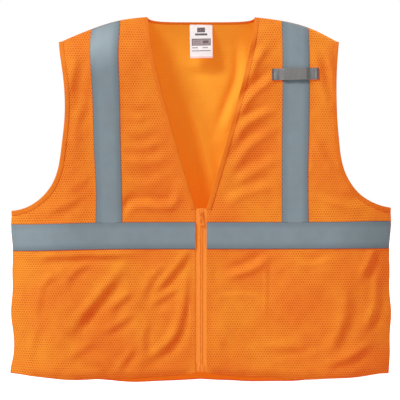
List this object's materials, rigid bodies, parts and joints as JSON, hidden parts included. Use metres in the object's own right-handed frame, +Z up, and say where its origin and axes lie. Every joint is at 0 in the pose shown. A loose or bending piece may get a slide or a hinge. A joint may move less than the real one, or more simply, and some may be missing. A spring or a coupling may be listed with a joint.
{
  "type": "high visibility vest",
  "caption": "Sleeveless orange mesh safety vest with a zip front, bound V neck and armholes, reflective shoulder and waist tapes, inner pockets, a microphone tab and a neck label.",
  "frame": {"origin": "level with the middle of the back neckline and halfway between the front and the back, where the vest is hung up", "axes": "+X to the wearer's left, across the vest; -Y out of the front; +Z up to the neck. Right and left in node names are the wearer's"},
  "size_m": [0.7244, 0.0764, 0.6885],
  "materials": {
    "mesh_cloth": "fluorescent orange polyester mesh, matt with a slight sheen",
    "binding_cloth": "orange knitted binding, matt",
    "reflective_tape": "grey glass bead reflective tape, satin",
    "zip_cloth": "orange woven zip tape, matt",
    "zip_plastic": "orange nylon coil, satin",
    "slider_enamel": "orange enamel, semi gloss",
    "grey_webbing": "grey woven webbing, matt",
    "grey_thread": "grey sewing thread, satin",
    "label_cloth": "white printed label ribbon, satin"
  },
  "bodies": {
    "shell": {"back_panel": "mesh_cloth", "right_front_panel": "mesh_cloth", "left_front_panel": "mesh_cloth", "right_inner_pocket": "mesh_cloth", "left_inner_pocket": "mesh_cloth", "back_neck_binding": "binding_cloth", "right_neck_binding": "binding_cloth", "left_neck_binding": "binding_cloth", "right_armhole_binding": "binding_cloth", "left_armhole_binding": "binding_cloth", "back_hem": "mesh_cloth", "right_front_hem": "mesh_cloth", "left_front_hem": "mesh_cloth", "right_shoulder_seam": "binding_cloth", "left_shoulder_seam": "binding_cloth", "right_side_seam": "binding_cloth", "left_side_seam": "binding_cloth", "right_front_tape": "reflective_tape", "left_front_tape": "reflective_tape", "right_back_tape": "reflective_tape", "left_back_tape": "reflective_tape", "right_belt_tape": "reflective_tape", "left_belt_tape": "reflective_tape", "back_belt_tape": "reflective_tape", "mic_tab": "grey_webbing", "mic_tab_inner_bartack": "grey_thread", "mic_tab_outer_bartack": "grey_thread"},
    "right_flap": {"right_flap_panel": "mesh_cloth", "right_flap_neck_binding": "binding_cloth", "right_flap_hem": "mesh_cloth", "right_flap_belt_tape": "reflective_tape", "right_zip_tape": "zip_cloth", "right_zip_coil": "zip_plastic", "right_top_stop": "zip_plastic", "retainer_box": "zip_plastic", "retainer_pin": "zip_plastic"},
    "left_flap": {"left_flap_panel": "mesh_cloth", "left_flap_neck_binding": "binding_cloth", "left_flap_hem": "mesh_cloth", "left_flap_belt_tape": "reflective_tape", "left_zip_tape": "zip_cloth", "left_zip_coil": "zip_plastic", "left_top_stop": "zip_plastic", "insertion_pin": "zip_plastic"},
    "slider": {"slider_body": "slider_enamel"},
    "pull": {"pull_tab": "slider_enamel"},
    "label": {"neck_label": "label_cloth"}
  },
  "joints": [
    {"name": "right_front_open", "type": "hinge", "parent": "shell", "child": "right_flap", "pos_m": [-0.126, -0.0354, -0.6763], "axis": [-0.0778, 0, -0.997], "range_deg": [0, 160]},
    {"name": "left_front_open", "type": "hinge", "parent": "shell", "child": "left_flap", "pos_m": [0.126, -0.0354, -0.6763], "axis": [-0.0778, 0, 0.997], "range_deg": [0, 160]},
    {"name": "slider_slide", "type": "slide", "parent": "right_flap", "child": "slider", "axis": [0, 0, -1], "range_m": [0, 0.279]},
    {"name": "pull_swing", "type": "hinge", "parent": "slider", "child": "pull", "pos_m": [0, -0.0369, -0.3631], "axis": [-1, 0, 0], "range_deg": [0, 150]},
    {"name": "label_lift", "type": "hinge", "parent": "shell", "child": "label", "pos_m": [0, 0.0089, -0.004], "axis": [-1, 0, 0], "range_deg": [0, 150]}
  ]
}
